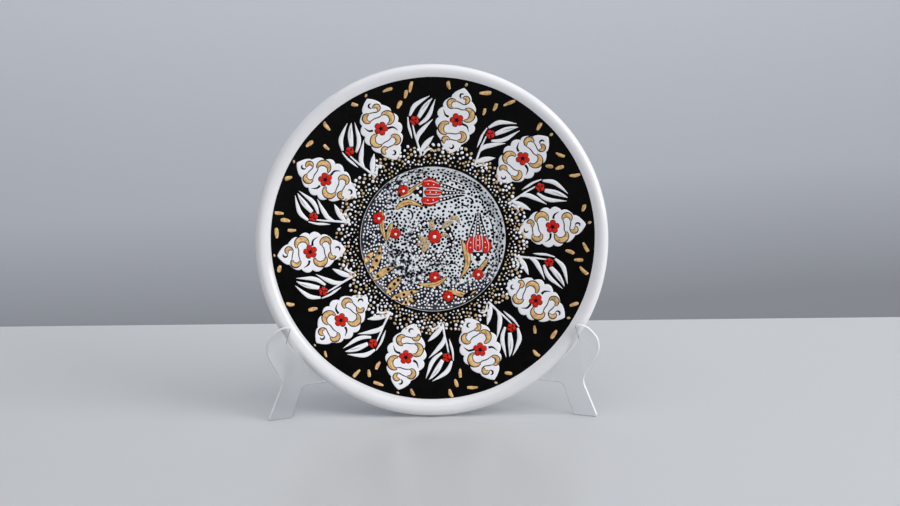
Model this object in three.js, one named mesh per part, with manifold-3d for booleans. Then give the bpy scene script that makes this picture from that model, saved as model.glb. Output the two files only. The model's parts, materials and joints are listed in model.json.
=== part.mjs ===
// A hand painted ceramic display plate leaning in a folding clear plastic plate stand.
// Millimetres, +Z up, the plate faces -Y. The origin is the middle of the footprint, on the table.
import * as THREE from "three";
import { mergeVertices } from "three/addons/utils/BufferGeometryUtils.js";
import Module from "manifold-3d";

const wasm = await Module();
wasm.setup();

// ---- driving dimensions ----
const plate = {
  radius: 90.5,
  lean: THREE.MathUtils.degToRad(6.5), // top edge away from the viewer
  rimY: 16.4, // centre of the rim's circle
  rimZ: 90.5,
  footPlane: 18, // foot ring's resting face, behind the rim's circle
  footHeight: 3.6,
  wall: 3.9,
  segments: 96,
};
const hole = { radius: 1.0, spread: THREE.MathUtils.degToRad(9) }; // hanging holes in the foot ring
const stand = {
  armAngle: THREE.MathUtils.degToRad(22.5), // of each half, forward of the X axis
  hingeY: 35.8,
  sheet: 2.4, // thickness of the clear sheet
  leafOffset: 0.3, // sheet's inner face, behind the hinge axis, so that the halves fold face to face
  height: 88,
  armUnder: 16.6,
  armTop: 23,
  restGap: 0.7, // between the rim and the sloping rest below it
};
const hinge = {
  barrel: 4,
  bore: 1.8,
  pin: 1.6,
  low: 6, // bottom of the lowest knuckle
  high: 86, // top of the highest knuckle
  knuckles: 3,
  gap: 0.4, // between neighbouring knuckles
  head: 3.1, // radius of the pin's two heads
  headHeight: 1.7,
  segments: 32,
};

// ---- helpers ----
const point = (x, y) => new THREE.Vector2(x, y);

// A closed three.js geometry as a manifold-3d solid, and back.
function toSolid(geometry) {
  const bare = geometry.index ? geometry.toNonIndexed() : geometry.clone();
  bare.deleteAttribute("normal");
  bare.deleteAttribute("uv");
  const merged = mergeVertices(bare, 1e-4);
  return new wasm.Manifold(
    new wasm.Mesh({
      numProp: 3,
      vertProperties: merged.attributes.position.array,
      triVerts: new Uint32Array(merged.index.array),
    }),
  );
}

function toGeometry(solid) {
  const mesh = solid.getMesh();
  const geometry = new THREE.BufferGeometry();
  geometry.setAttribute("position", new THREE.BufferAttribute(mesh.vertProperties, 3));
  geometry.setIndex(new THREE.BufferAttribute(mesh.triVerts, 1));
  const flat = geometry.toNonIndexed();
  flat.computeVertexNormals();
  return flat;
}

function namedMesh(name, geometry, material) {
  const mesh = new THREE.Mesh(geometry, material);
  mesh.name = name;
  return mesh;
}

// An upright cylinder from z = low to z = high on the Z axis.
function column(radius, low, high) {
  const geometry = new THREE.CylinderGeometry(radius, radius, high - low, hinge.segments);
  geometry.rotateX(Math.PI / 2);
  geometry.translate(0, 0, (low + high) / 2);
  return geometry;
}

// A closed outline through corners [x, y, radius]; a corner with a radius is rounded off.
function roundedOutline(corners) {
  const shape = new THREE.Shape();
  corners.forEach(([x, y, radius = 0], i) => {
    const corner = point(x, y);
    const before = point(...corners.at(i - 1));
    const after = point(...corners[(i + 1) % corners.length]);
    const start = corner.clone().add(before.sub(corner).setLength(radius));
    const end = corner.clone().add(after.sub(corner).setLength(radius));
    if (i === 0) shape.moveTo(start.x, start.y);
    else shape.lineTo(start.x, start.y);
    if (radius > 0) shape.quadraticCurveTo(corner.x, corner.y, end.x, end.y);
  });
  shape.closePath();
  return shape;
}

// ---- ceramic plate ----
// Profile as [radius, depth behind the rim's circle], from the middle of the back round to the front.
function plateProfile() {
  const recess = plate.footPlane - plate.footHeight;
  const floor = recess - plate.wall;
  const back = [
    [0, recess],
    [43.6, recess],
    [44.6, plate.footPlane - 0.6],
    [45.4, plate.footPlane],
    [48.6, plate.footPlane],
    [49.5, plate.footPlane - 0.7],
    [50.4, 12.6],
  ];
  const backFlange = new THREE.QuadraticBezierCurve(point(50.4, 12.6), point(66, 10.4), point(85, 3.2));
  const lip = new THREE.SplineCurve(
    [[85, 3.2], [88.6, 2.1], [plate.radius, 0], [89.9, -1.6], [88, -2.5], [85.8, -2.2], [83.2, -0.9]].map(
      (p) => point(...p),
    ),
  );
  const frontFlange = new THREE.QuadraticBezierCurve(point(83.2, -0.9), point(64, 5.6), point(39.5, 8.1));
  const step = new THREE.QuadraticBezierCurve(point(39.5, 8.1), point(36.4, 8.6), point(34.5, floor));
  return [
    ...back.map((p) => point(...p)),
    ...backFlange.getPoints(5).slice(1),
    ...lip.getPoints(14).slice(1),
    ...frontFlange.getPoints(7).slice(1),
    ...step.getPoints(3).slice(1),
    point(0, floor),
  ];
}

// The lathe's own axis is Y, with the front of the plate on its +Y side.
function plateGeometry() {
  const profile = plateProfile().map((p) => point(p.x, -p.y));
  let solid = toSolid(new THREE.LatheGeometry(profile, plate.segments));
  const holeDepth = plate.footPlane - plate.footHeight / 2;
  for (const side of [-1, 1]) {
    const drill = new THREE.CylinderGeometry(hole.radius, hole.radius, 12, 12);
    drill.rotateX(Math.PI / 2);
    drill.translate(0, -holeDepth, -47);
    drill.rotateY(side * hole.spread);
    solid = solid.subtract(toSolid(drill));
  }
  return toGeometry(solid);
}

function makePlate() {
  const glaze = new THREE.MeshStandardMaterial({ color: 0xe4e4e8, roughness: 0.12, metalness: 0 });
  const mesh = namedMesh("plate_body", plateGeometry(), glaze);
  mesh.rotation.x = Math.PI - plate.lean;
  mesh.position.set(0, plate.rimY, plate.rimZ);
  return mesh;
}

// ---- clear stand halves ----
// Height of the plate's lower edge above a point u out along the arm.
function rimEdgeHeight(u) {
  const x = u * Math.cos(stand.armAngle) + stand.leafOffset * Math.sin(stand.armAngle);
  return plate.rimZ - Math.cos(plate.lean) * Math.sqrt(plate.radius ** 2 - x ** 2);
}

// Side outline of one half: u runs out along the arm from the hinge axis, z is up.
function halfOutline() {
  const leaf = hinge.barrel + 0.6; // clears the other half's knuckles
  const restIn = 60;
  const restOut = 81.1;
  const steps = 7;
  const rest = [];
  for (let i = 0; i <= steps; i++) {
    const u = restOut + ((restIn - restOut) * i) / steps;
    rest.push([u, rimEdgeHeight(u) - stand.restGap]);
  }
  return roundedOutline([
    [leaf, 0, 1],
    [19, 0, 1.5],
    [23, stand.armUnder, 6],
    [72.4, stand.armUnder, 3],
    [78.6, 0, 1.2],
    [91.5, 0, 1.8],
    [82.9, 19, 3],
    [91.8, 35.4, 3],
    [91.2, 41.8, 3],
    [84.8, 48.4, 4],
    [78.2, 48.4, 2],
    [80.1, 43, 1.5],
    ...rest,
    [27, stand.armTop, 12],
    [15.5, 48, 8],
    [10, stand.height, 3],
    [leaf, stand.height, 1],
  ]);
}

// The knuckles with the given numbers, counted from the bottom, as [low, high] spans.
function knuckleSpans(numbers) {
  const pitch = (hinge.high - hinge.low + hinge.gap) / hinge.knuckles;
  return numbers.map((n) => [hinge.low + n * pitch, hinge.low + (n + 1) * pitch - hinge.gap]);
}

// One half in its own frame: X out along the arm, Y towards the back, the hinge axis at the origin.
function halfGeometry(knuckleNumbers) {
  const sheet = new THREE.ExtrudeGeometry(halfOutline(), {
    depth: stand.sheet,
    bevelEnabled: false,
    curveSegments: 5,
  });
  sheet.rotateX(Math.PI / 2);
  sheet.translate(0, stand.leafOffset + stand.sheet, 0);
  let solid = toSolid(sheet);
  for (const [low, high] of knuckleSpans(knuckleNumbers)) {
    const web = new THREE.BoxGeometry(hinge.barrel + 1, stand.sheet, high - low);
    web.translate((hinge.barrel + 1) / 2, stand.leafOffset + stand.sheet / 2, (low + high) / 2);
    solid = solid.add(toSolid(column(hinge.barrel, low, high))).add(toSolid(web));
  }
  return toGeometry(solid.subtract(toSolid(column(hinge.bore, -1, stand.height + 1))));
}

function makeHalf(name, side, knuckleNumbers) {
  const clear = new THREE.MeshStandardMaterial({
    color: 0xf2f6f8,
    roughness: 0.05,
    metalness: 0,
    transparent: true,
    opacity: 0.3,
  });
  const mesh = namedMesh(name, halfGeometry(knuckleNumbers), clear);
  mesh.scale.x = side;
  mesh.rotation.z = -side * stand.armAngle;
  mesh.position.set(0, stand.hingeY, 0);
  return mesh;
}

// ---- hinge pin ----
// A plain pin with a domed head at each end, so that it cannot fall out.
function makePin() {
  const clearance = 0.3;
  const low = hinge.low - clearance;
  const high = hinge.high + clearance;
  const profile = [
    [0, low - hinge.headHeight],
    [hinge.head * 0.7, low - hinge.headHeight],
    [hinge.head, low - hinge.headHeight * 0.6],
    [hinge.head, low],
    [hinge.pin, low],
    [hinge.pin, high],
    [hinge.head, high],
    [hinge.head, high + hinge.headHeight * 0.6],
    [hinge.head * 0.7, high + hinge.headHeight],
    [0, high + hinge.headHeight],
  ].map((p) => point(...p));
  const steel = new THREE.MeshStandardMaterial({ color: 0xb8bbc0, roughness: 0.3, metalness: 1 });
  const mesh = namedMesh("hinge_pin", new THREE.LatheGeometry(profile, hinge.segments), steel);
  mesh.rotation.x = Math.PI / 2;
  mesh.position.set(0, stand.hingeY, 0);
  return mesh;
}

// ---- assembly ----
const assembly = new THREE.Group();
assembly.add(
  makePlate(),
  makeHalf("stand_left_half", -1, [0, 2]),
  makeHalf("stand_right_half", 1, [1]),
  makePin(),
);

// The footprint's middle goes to the origin.
const box = new THREE.Box3().setFromObject(assembly, true);
for (const mesh of assembly.children) mesh.position.y -= (box.min.y + box.max.y) / 2;

export default assembly;
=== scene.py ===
"""A hand painted ceramic display plate that leans in a folding clear plastic stand.

Paint is laid out in the plate's own plane, in millimetres: x to the right, y up, and lift above
the glaze. A stroke, patch or dot rises by its lift from its base, which is itself above the glaze.
"""

import json
import math
import random

import bmesh
import bpy
from mathutils import Matrix, Vector


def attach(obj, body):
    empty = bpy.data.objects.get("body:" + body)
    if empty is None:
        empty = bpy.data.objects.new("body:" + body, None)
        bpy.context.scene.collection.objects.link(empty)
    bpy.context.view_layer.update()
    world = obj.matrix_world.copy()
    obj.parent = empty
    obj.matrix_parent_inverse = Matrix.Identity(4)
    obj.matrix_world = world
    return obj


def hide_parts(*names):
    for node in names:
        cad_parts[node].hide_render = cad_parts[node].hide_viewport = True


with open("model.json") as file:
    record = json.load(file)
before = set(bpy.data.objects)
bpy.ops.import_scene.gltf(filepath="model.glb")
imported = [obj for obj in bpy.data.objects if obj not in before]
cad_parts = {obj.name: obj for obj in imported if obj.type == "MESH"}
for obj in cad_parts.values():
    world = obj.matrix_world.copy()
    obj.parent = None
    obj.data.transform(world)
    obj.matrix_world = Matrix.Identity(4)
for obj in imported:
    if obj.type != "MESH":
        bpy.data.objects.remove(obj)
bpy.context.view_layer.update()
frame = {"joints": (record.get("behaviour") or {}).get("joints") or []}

bl_info = {
    "name": "Hand painted display plate",
    "version": (1, 0, 0),
    "blender": (4, 5, 0),
    "location": "View3D > Sidebar > Plate",
    "description": "Builds a hand painted ceramic plate, its raised enamel and its clear folding stand",
    "category": "Object",
}

MM = 0.001
TAU = 2 * math.pi
HINGE = Vector(next(j["pos_m"] for j in frame["joints"] if j["name"] == "stand_fold"))

# ---- where the plate leans ----
PLATE_LEAN = math.radians(6.5)
RIM_AHEAD_OF_HINGE = 0.0194
RIM_CENTRE = Vector((0, HINGE.y - RIM_AHEAD_OF_HINGE, 0.0905))
TO_PLATE = Matrix.Translation(RIM_CENTRE) @ Matrix.Rotation(math.pi / 2 - PLATE_LEAN, 4, "X")

# ---- profile of the plate, [radius, depth behind the rim's circle] in millimetres ----
FOOT = [(0, 14.4), (43.6, 14.4), (44.6, 17.4), (45.4, 18), (48.6, 18), (49.5, 17.3), (50.4, 12.6)]
BACK_FLANGE = [(50.4, 12.6), (66, 10.4), (85, 3.2)]
LIP = [(85, 3.2), (88.6, 2.1), (90.5, 0), (89.9, -1.6), (88, -2.5), (85.8, -2.2), (83.2, -0.9)]
FRONT_FLANGE = [(83.2, -0.9), (64, 5.6), (39.5, 8.1)]
STEP = [(39.5, 8.1), (36.4, 8.6), (34.5, 10.5)]
FLOOR_RADIUS, FLOOR_DEPTH = STEP[2]

# ---- hanging holes through the foot ring ----
HOLE_CIRCLE = 47.0
HOLE_SPREAD = 9  # degrees to each side of the top
HOLE_DEPTH = 16.2
HOLE_RADIUS = 1.0
HOLE_LENGTH = 12.0

# ---- painted fields ----
BLACK_INNER = 37.6
BLACK_OUTER = 83.0
CENTRE_RADIUS = 37.4
FIELD_LIFT = 0.05  # of the painted fields, above the glaze
PAINT_SHIFT = (-0.2, 0.5)  # the paint sits a little off the middle of the body
EDGE_SHIFT = (0.7, 0.5)  # and the black field's edge by a little more
EDGE_BLEND = (80, 83)  # radii over which that comes in
CENTRE_SHIFT = (0.85, -0.25)  # the well's picture is shifted too
CENTRE_BLEND = (38, 54)  # radii over which that dies out

# ---- layout of the flange ----
MOTIFS = 10
FIRST_ANGLE = 77.9
PITCH = 360 / MOTIFS
MEDALLION_RADIUS = 62.3
TULIP_OFFSET = 17.9


# ================= plane geometry =================
def lerp(a, b, t):
    return a + (b - a) * t


def smoothstep(low, high, value):
    t = min(max((value - low) / (high - low), 0.0), 1.0)
    return t * t * (3 - 2 * t)


def polar(radius, degrees):
    angle = math.radians(degrees)
    return (radius * math.cos(angle), radius * math.sin(angle))


def moved(point, step):
    """A point of the plane, shifted by a step."""
    return (point[0] + step[0], point[1] + step[1])


def bezier(points, t):
    """A point of the quadratic curve with the given three corners."""
    a, b, c = points
    return tuple((1 - t) ** 2 * a[i] + 2 * t * (1 - t) * b[i] + t * t * c[i] for i in range(2))


def spline(points, count):
    """count + 1 points on a Catmull-Rom curve through points of any dimension."""
    last = len(points) - 1
    made = []
    for step in range(count + 1):
        place = step / count * last
        i = min(int(place), last - 1)
        t = place - i
        p0, p1, p2, p3 = (points[min(max(i + k, 0), last)] for k in (-1, 0, 1, 2))
        made.append(tuple(
            0.5 * (2 * b + (c - a) * t + (2 * a - 5 * b + 4 * c - d) * t * t
                   + (3 * b - a - 3 * c + d) * t ** 3)
            for a, b, c, d in zip(p0, p1, p2, p3)
        ))
    return made


def arc(centre, radius, start, sweep, count=8):
    """count + 1 points round part of a circle, from start on, in degrees."""
    return [moved(centre, polar(radius, start + sweep * i / count)) for i in range(count + 1)]


LIP_STEPS = 7 * (len(LIP) - 1)
LIP_FRONT = spline(LIP, LIP_STEPS)[-8:]  # its last span, down to the flange


def front_depth(radius):
    """Depth of the glazed front behind the rim's circle."""
    if radius <= FLOOR_RADIUS:
        return FLOOR_DEPTH
    if radius > FRONT_FLANGE[0][0]:
        for outer, inner in zip(LIP_FRONT, LIP_FRONT[1:]):
            if radius >= inner[0]:
                return lerp(inner[1], outer[1], (radius - inner[0]) / (outer[0] - inner[0]))
    curve = STEP if radius < STEP[0][0] else FRONT_FLANGE
    a = curve[0][0] - 2 * curve[1][0] + curve[2][0]
    b = 2 * (curve[1][0] - curve[0][0])
    c = curve[0][0] - radius
    t = (-b - math.sqrt(b * b - 4 * a * c)) / (2 * a)
    return bezier(curve, t)[1]


def on_glaze(x, y, lift):
    """A point of the paint, in metres in the plate's own axes."""
    radius = math.hypot(x, y)
    edge = smoothstep(*EDGE_BLEND, radius)
    well = 1 - smoothstep(*CENTRE_BLEND, radius)
    x += PAINT_SHIFT[0] + edge * EDGE_SHIFT[0] + well * CENTRE_SHIFT[0]
    y += PAINT_SHIFT[1] + edge * EDGE_SHIFT[1] + well * CENTRE_SHIFT[1]
    return (x * MM, y * MM, (lift - front_depth(math.hypot(x, y))) * MM)


class Placed:
    """A motif's own axes: right is clockwise round the plate and up is outwards."""

    def __init__(self, radius, degrees, turn=0.0, scale=1.0):
        self.centre = polar(radius, degrees)
        self.angle = math.radians(degrees - 90 + turn)
        self.scale = scale

    def __call__(self, point):
        x, y = point[0] * self.scale, point[1] * self.scale
        c, s = math.cos(self.angle), math.sin(self.angle)
        return (self.centre[0] + x * c - y * s, self.centre[1] + x * s + y * c)

    def all(self, points):
        return [self(p) for p in points]


def medallion_angle(index):
    """The ten are set out by eye, so they drift a little round the plate."""
    drift = -0.8 * math.sin(math.pi * index / MOTIFS)
    return FIRST_ANGLE - PITCH * index + drift


# ================= enamel =================
class Enamel:
    """Raised strokes and patches of one colour that follow the glazed front, each a closed shell."""

    SUNK = -0.04

    def __init__(self):
        self.points = []
        self.faces = []

    def _add(self, place, lift):
        self.points.append(on_glaze(*place, lift))
        return len(self.points) - 1

    def stroke(self, path, widths, lift=0.1, base=0.0, steps=None):
        """A brush stroke along a smooth path, as wide at each point as widths says."""
        count = steps or 5 * (len(path) - 1)
        line = spline(path, count)
        width = spline([(w,) for w in widths], count)
        across = [(-1, self.SUNK), (-0.72, 0.75), (0, 1), (0.72, 0.75), (1, self.SUNK)]
        rows = []
        for i, (x, y) in enumerate(line):
            ax, ay = line[max(i - 1, 0)]
            bx, by = line[min(i + 1, count)]
            length = math.hypot(bx - ax, by - ay) or 1.0
            nx, ny = (ay - by) / length, (bx - ax) / length
            half = max(width[i][0], 0.04) / 2
            tall = lift * min(1.0, 0.35 + half)
            rows.append([
                self._add((x + nx * half * side, y + ny * half * side),
                          base + (tall * rise if rise > 0 else rise))
                for side, rise in across
            ])
        for a, b in zip(rows, rows[1:]):
            for j in range(4):
                self.faces.append((a[j], b[j], b[j + 1], a[j + 1]))
            self.faces.append((a[4], b[4], b[0], a[0]))
        self.faces.append(tuple(rows[0]))
        self.faces.append(tuple(reversed(rows[-1])))

    def patch(self, outline, centre, lift=0.1, base=0.0, crown=0.0):
        """A filled shape seen whole from its centre, with its outline given anticlockwise."""
        top = [(1.0, self.SUNK), (0.95, 0.8), (0.8, 1.0), (0.6, 1.0), (0.4, 1.0), (0.2, 1.0)]
        upper = [self._ring(outline, centre, f, base + (lift * h + crown * (1 - f) if h > 0 else h))
                 for f, h in top]
        lower = [upper[0]] + [self._ring(outline, centre, f, base + self.SUNK) for f, _ in top[1:]]
        peak = self._add(centre, base + lift + crown)
        pit = self._add(centre, base + self.SUNK)
        self._bridge(upper, peak, False)
        self._bridge(lower, pit, True)

    def _ring(self, outline, centre, share, lift):
        cx, cy = centre
        return [self._add((lerp(cx, x, share), lerp(cy, y, share)), lift) for x, y in outline]

    def _bridge(self, rings, tip, inward):
        count = len(rings[0])
        for outer, inner in zip(rings, rings[1:]):
            for i in range(count):
                k = (i + 1) % count
                face = (outer[i], outer[k], inner[k], inner[i])
                self.faces.append(tuple(reversed(face)) if inward else face)
        for i in range(count):
            face = (rings[-1][i], rings[-1][(i + 1) % count], tip)
            self.faces.append(tuple(reversed(face)) if inward else face)

    def dot(self, centre, radius, lift=0.3, base=0.0, sides=12):
        """A round drop of enamel."""
        rings = [
            self._ring(arc(centre, radius, 0, 360 - 360 / sides, sides - 1), centre, f, base + h * lift)
            for f, h in ((1.0, -0.12), (0.9, 0.45), (0.5, 0.88))
        ]
        self._bridge(rings, self._add(centre, base + lift), False)
        self.faces.append(tuple(reversed(rings[0])))

    def build(self, name, material, slot):
        mesh = new_mesh(name, self.points, self.faces)
        mesh.transform(TO_PLATE)
        mesh.validate()
        smooth(mesh)
        return show(name, mesh, material, "plate")


def new_object(name, data):
    made = bpy.data.objects.new(name, data)
    bpy.context.scene.collection.objects.link(made)
    return made


def new_mesh(name, points, faces=()):
    mesh = bpy.data.meshes.new(name)
    mesh.from_pydata(points, [], faces)
    return mesh


def solid_mesh(name, bm):
    """A mesh from a bmesh, which is freed."""
    mesh = bpy.data.meshes.new(name)
    bm.to_mesh(mesh)
    bm.free()
    return mesh


def add_floats(mesh, name, domain, values):
    """Gives a mesh a named attribute with one number for each point or face."""
    mesh.attributes.new(name, "FLOAT", domain).data.foreach_set("value", values)


def smooth(mesh):
    mesh.polygons.foreach_set("use_smooth", [True] * len(mesh.polygons))
    mesh.update()


def show(name, mesh, material, body, replaced=()):
    """Gives a finished mesh its object, its material and its place on a CAD body."""
    piece = new_object(name, mesh)
    mesh.materials.clear()
    mesh.materials.append(material)
    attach(piece, body)
    if replaced:
        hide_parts(*replaced)
    return piece


# ================= material nodes =================
class Finish:
    """A material on a Principled shader, with short calls for its nodes."""

    def __init__(self, name, **constants):
        self.material = bpy.data.materials.new(name)
        self.material.use_nodes = True
        self.nodes = self.material.node_tree.nodes
        self.shader = self.nodes["Principled BSDF"]
        self.coords = self.nodes.new("ShaderNodeTexCoord").outputs["Object"]
        for socket, value in constants.items():
            self.shader.inputs[socket.replace("_", " ")].default_value = value

    def join(self, source, target):
        self.material.node_tree.links.new(source, target)

    def on_plate(self):
        """Coordinates turned into the plate's own plane, with Z out of its front."""
        mapping = self.nodes.new("ShaderNodeMapping")
        mapping.vector_type = "TEXTURE"
        mapping.inputs["Location"].default_value = RIM_CENTRE
        mapping.inputs["Rotation"].default_value = (math.pi / 2 - PLATE_LEAN, 0, 0)
        self.join(self.coords, mapping.inputs["Vector"])
        return mapping.outputs["Vector"]

    def noise(self, scale, detail=3.0, roughness=0.5, coords=None, stretch=None):
        node = self.nodes.new("ShaderNodeTexNoise")
        node.inputs["Scale"].default_value = scale
        node.inputs["Detail"].default_value = detail
        node.inputs["Roughness"].default_value = roughness
        source = coords or self.coords
        if stretch:
            mapping = self.nodes.new("ShaderNodeMapping")
            mapping.inputs["Scale"].default_value = stretch
            self.join(source, mapping.inputs["Vector"])
            source = mapping.outputs["Vector"]
        self.join(source, node.inputs["Vector"])
        return node.outputs["Fac"]

    def ramp(self, source, stops):
        node = self.nodes.new("ShaderNodeValToRGB")
        elements = node.color_ramp.elements
        while len(elements) < len(stops):
            elements.new(0.5)
        for element, (place, colour) in zip(elements, stops):
            element.position = place
            element.color = (*colour, 1.0)
        self.join(source, node.inputs["Fac"])
        return node.outputs["Color"]

    def span(self, source, low, high, from_low=0.0, from_high=1.0):
        node = self.nodes.new("ShaderNodeMapRange")
        labels = ("From Min", "From Max", "To Min", "To Max")
        for label, value in zip(labels, (from_low, from_high, low, high)):
            node.inputs[label].default_value = value
        self.join(source, node.inputs["Value"])
        return node.outputs["Result"]

    def maths(self, operation, a, b=0.0):
        node = self.nodes.new("ShaderNodeMath")
        node.operation = operation
        for socket, value in zip(node.inputs, (a, b)):
            if isinstance(value, (int, float)):
                socket.default_value = value
            else:
                self.join(value, socket)
        return node.outputs["Value"]

    def mix(self, share, a, b):
        node = self.nodes.new("ShaderNodeMix")
        node.data_type = "RGBA"
        sockets = {s.identifier: s for s in node.inputs}
        self.join(share, sockets["Factor_Float"])
        for key, value in (("A_Color", a), ("B_Color", b)):
            if isinstance(value, tuple):
                sockets[key].default_value = (*value, 1.0)
            else:
                self.join(value, sockets[key])
        return next(s for s in node.outputs if s.identifier == "Result_Color")

    def colour(self, source):
        self.join(source, self.shader.inputs["Base Color"])

    def tones(self, source, *stops):
        """Base colour from (place, colour) stops of a ramp."""
        self.colour(self.ramp(source, stops))

    def roughness(self, source):
        self.join(source, self.shader.inputs["Roughness"])

    def bump(self, source, distance, strength=1.0):
        node = self.nodes.new("ShaderNodeBump")
        node.inputs["Distance"].default_value = distance
        node.inputs["Strength"].default_value = strength
        self.join(source, node.inputs["Height"])
        self.join(node.outputs["Normal"], self.shader.inputs["Normal"])


def shade(colour, factor):
    """A colour made darker or lighter."""
    return tuple(c * factor for c in colour)


def white_glaze(colours):
    """Bright tin glaze with faint pooling, and a dry unglazed face on the foot ring."""
    white = tuple(colours.glaze_white)
    finish = Finish("white_glaze", IOR=1.5, Specular_IOR_Level=0.45, Coat_Weight=0.35,
                    Coat_Roughness=0.04)
    plane = finish.on_plate()
    split = finish.nodes.new("ShaderNodeSeparateXYZ")
    finish.join(plane, split.inputs["Vector"])
    pooling = finish.noise(45, 4, 0.55, plane)
    glaze = finish.ramp(pooling, [(0.3, shade(white, 0.94)), (0.7, white)])
    grit = finish.noise(1500, 2)
    bisque = finish.ramp(grit, [(0.35, (0.50, 0.42, 0.33)), (0.7, (0.70, 0.63, 0.54))])
    bare = finish.span(split.outputs["Z"], 1.0, 0.0, -0.01790, -0.01760)
    finish.colour(finish.mix(bare, glaze, bisque))
    gloss = finish.span(finish.noise(160, 3, 0.5, plane), 0.10, 0.20)
    finish.roughness(finish.maths("MAXIMUM", gloss, finish.maths("MULTIPLY", bare, 0.75)))
    waves = finish.noise(70, 2, 0.4, plane)
    rough = finish.maths("MULTIPLY", grit, finish.maths("MULTIPLY", bare, 0.3))
    finish.bump(finish.maths("ADD", waves, rough), 0.0003, 0.4)
    return finish.material


def black_glaze(colours):
    """Deep gloss black with slight brush marks round the plate."""
    black = tuple(colours.glaze_black)
    finish = Finish("black_glaze", IOR=1.5, Specular_IOR_Level=0.07)
    plane = finish.on_plate()
    brushed = finish.noise(160, 4, 0.6, plane)
    finish.tones(brushed, (0.35, shade(black, 0.6)), (0.75, shade(black, 1.8)))
    finish.roughness(finish.span(finish.noise(220, 3, 0.5, plane), 0.09, 0.24))
    finish.bump(finish.noise(120, 3, 0.45, plane), 0.00025, 0.35)
    return finish.material


def enamel(name, colour, spread, specular, scale=420):
    """Fired enamel: brushed thinner and thicker, so its colour and its sheen vary along the stroke."""
    finish = Finish(name, IOR=1.5, Specular_IOR_Level=specular)
    pooled = finish.noise(scale, 4, 0.6)
    finish.tones(pooled, (0.32, shade(colour, 1 - spread)), (0.68, colour))
    finish.roughness(finish.span(finish.noise(scale * 0.6, 2), 0.14, 0.3))
    finish.bump(pooled, 0.00008, 0.5)
    return finish.material


def gold_enamel(colours):
    """Warm ochre that is browner where the brush left it thin."""
    light = tuple(colours.ochre)
    finish = Finish("ochre_enamel", IOR=1.5, Specular_IOR_Level=0.45)
    pooled = finish.noise(520, 4, 0.6)
    finish.tones(pooled, (0.28, shade(light, 0.35)), (0.52, shade(light, 0.85)),
                 (0.8, (0.92, 0.70, 0.38)))
    finish.roughness(finish.span(pooled, 0.18, 0.34))
    finish.bump(pooled, 0.0001, 0.6)
    return finish.material


def centre_glaze(colours):
    """White ground of the well, brushed over with navy and darkened at its lower left as painted shade,
    where the point attribute says.
    """
    white = tuple(colours.centre_white)
    navy = tuple(colours.centre_navy)
    finish = Finish("centre_glaze", IOR=1.5, Specular_IOR_Level=0.3)
    plane = finish.on_plate()
    painted = finish.nodes.new("ShaderNodeAttribute")
    painted.attribute_name = "navy_and_painted_shade"
    cells = finish.noise(620, 3, 0.6, plane)
    # The attribute carries the navy wash together with painted shade.
    cover = finish.maths("ADD", painted.outputs["Fac"], finish.span(cells, -0.42, 0.42, 0.25, 0.75))
    finish.tones(cover, (0.34, white), (0.46, shade(white, 0.5)),
                 (0.56, navy), (0.85, shade(navy, 0.35)))
    finish.roughness(finish.span(cells, 0.12, 0.28))
    finish.bump(cells, 0.0001, 0.4)
    return finish.material


def clear_plastic(colours):
    """Clear sheet, slightly cool, with faint handling marks; its cut edges are made milky white as a
    painted highlight of the light they catch.
    """
    finish = Finish("clear_plastic", IOR=1.49, Transmission_Weight=1.0, Specular_IOR_Level=0.5)
    tint = tuple(colours.plastic_tint)
    cut = finish.nodes.new("ShaderNodeAttribute")
    cut.attribute_name = "cut_edge"
    finish.tones(finish.noise(60, 2), (0.3, shade(tint, 0.97)), (0.7, tint))
    marks = finish.span(finish.noise(500, 5, 0.7, stretch=(1, 1, 0.15)), 0.01, 0.07, 0.45, 0.75)
    finish.roughness(finish.maths("ADD", marks, finish.span(cut.outputs["Fac"], 0.0, 0.12)))
    # Cut edges let less light through and read as bright white: a painted highlight.
    finish.join(finish.span(cut.outputs["Fac"], 1.0, 0.15), finish.shader.inputs["Transmission Weight"])
    return finish.material


def brushed_steel(colours):
    """Drawn wire, with fine lines along the pin."""
    finish = Finish("pin_steel", Metallic=1.0)
    steel = tuple(colours.steel)
    lines = finish.noise(2600, 3, 0.6, stretch=(1, 1, 0.02))
    finish.tones(lines, (0.3, shade(steel, 0.82)), (0.7, steel))
    finish.roughness(finish.span(lines, 0.22, 0.4))
    finish.bump(lines, 0.00003, 0.4)
    return finish.material


def tabletop(stage):
    """Pale lacquered board that mirrors softly."""
    white = tuple(stage.floor_colour)
    finish = Finish("tabletop", IOR=1.45, Specular_IOR_Level=0.5)
    finish.tones(finish.noise(3, 2), (0.3, shade(white, 0.985)), (0.7, white))
    finish.roughness(finish.span(finish.noise(9, 2), 0.26, 0.32))
    return finish.material


def wall_paint(stage):
    """Grey blue matt paint, with painted shade: darker low down and a little darker to the right."""
    tone = tuple(stage.wall_colour)
    finish = Finish("wall_paint", Roughness=0.9, Specular_IOR_Level=0.1)
    split = finish.nodes.new("ShaderNodeSeparateXYZ")
    finish.join(finish.coords, split.inputs["Vector"])
    # Painted shade: the wall darkens towards the right and towards the table.
    side_shade = finish.span(split.outputs["X"], 0.09, -0.09, -0.7, 0.7)
    low = finish.maths("ADD", side_shade, finish.span(split.outputs["Z"], 0.0, 1.0, -0.52, 0.05))
    finish.tones(low, (0.03, shade(tone, 0.58)), (0.4, shade(tone, 0.91)), (1.0, tone))
    return finish.material


# ================= geometry nodes =================
def new_tree(name, inputs):
    """A Geometry Nodes tree with its named inputs, its group input and its output."""
    tree = bpy.data.node_groups.new(name, "GeometryNodeTree")
    tree.interface.new_socket("Geometry", in_out="INPUT", socket_type="NodeSocketGeometry")
    for label, kind, default in inputs:
        socket = tree.interface.new_socket(label, in_out="INPUT", socket_type="NodeSocket" + kind)
        if default is not None:
            socket.default_value = default
    tree.interface.new_socket("Geometry", in_out="OUTPUT", socket_type="NodeSocketGeometry")
    return tree, tree.nodes.new("NodeGroupInput"), tree.nodes.new("NodeGroupOutput")


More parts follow.
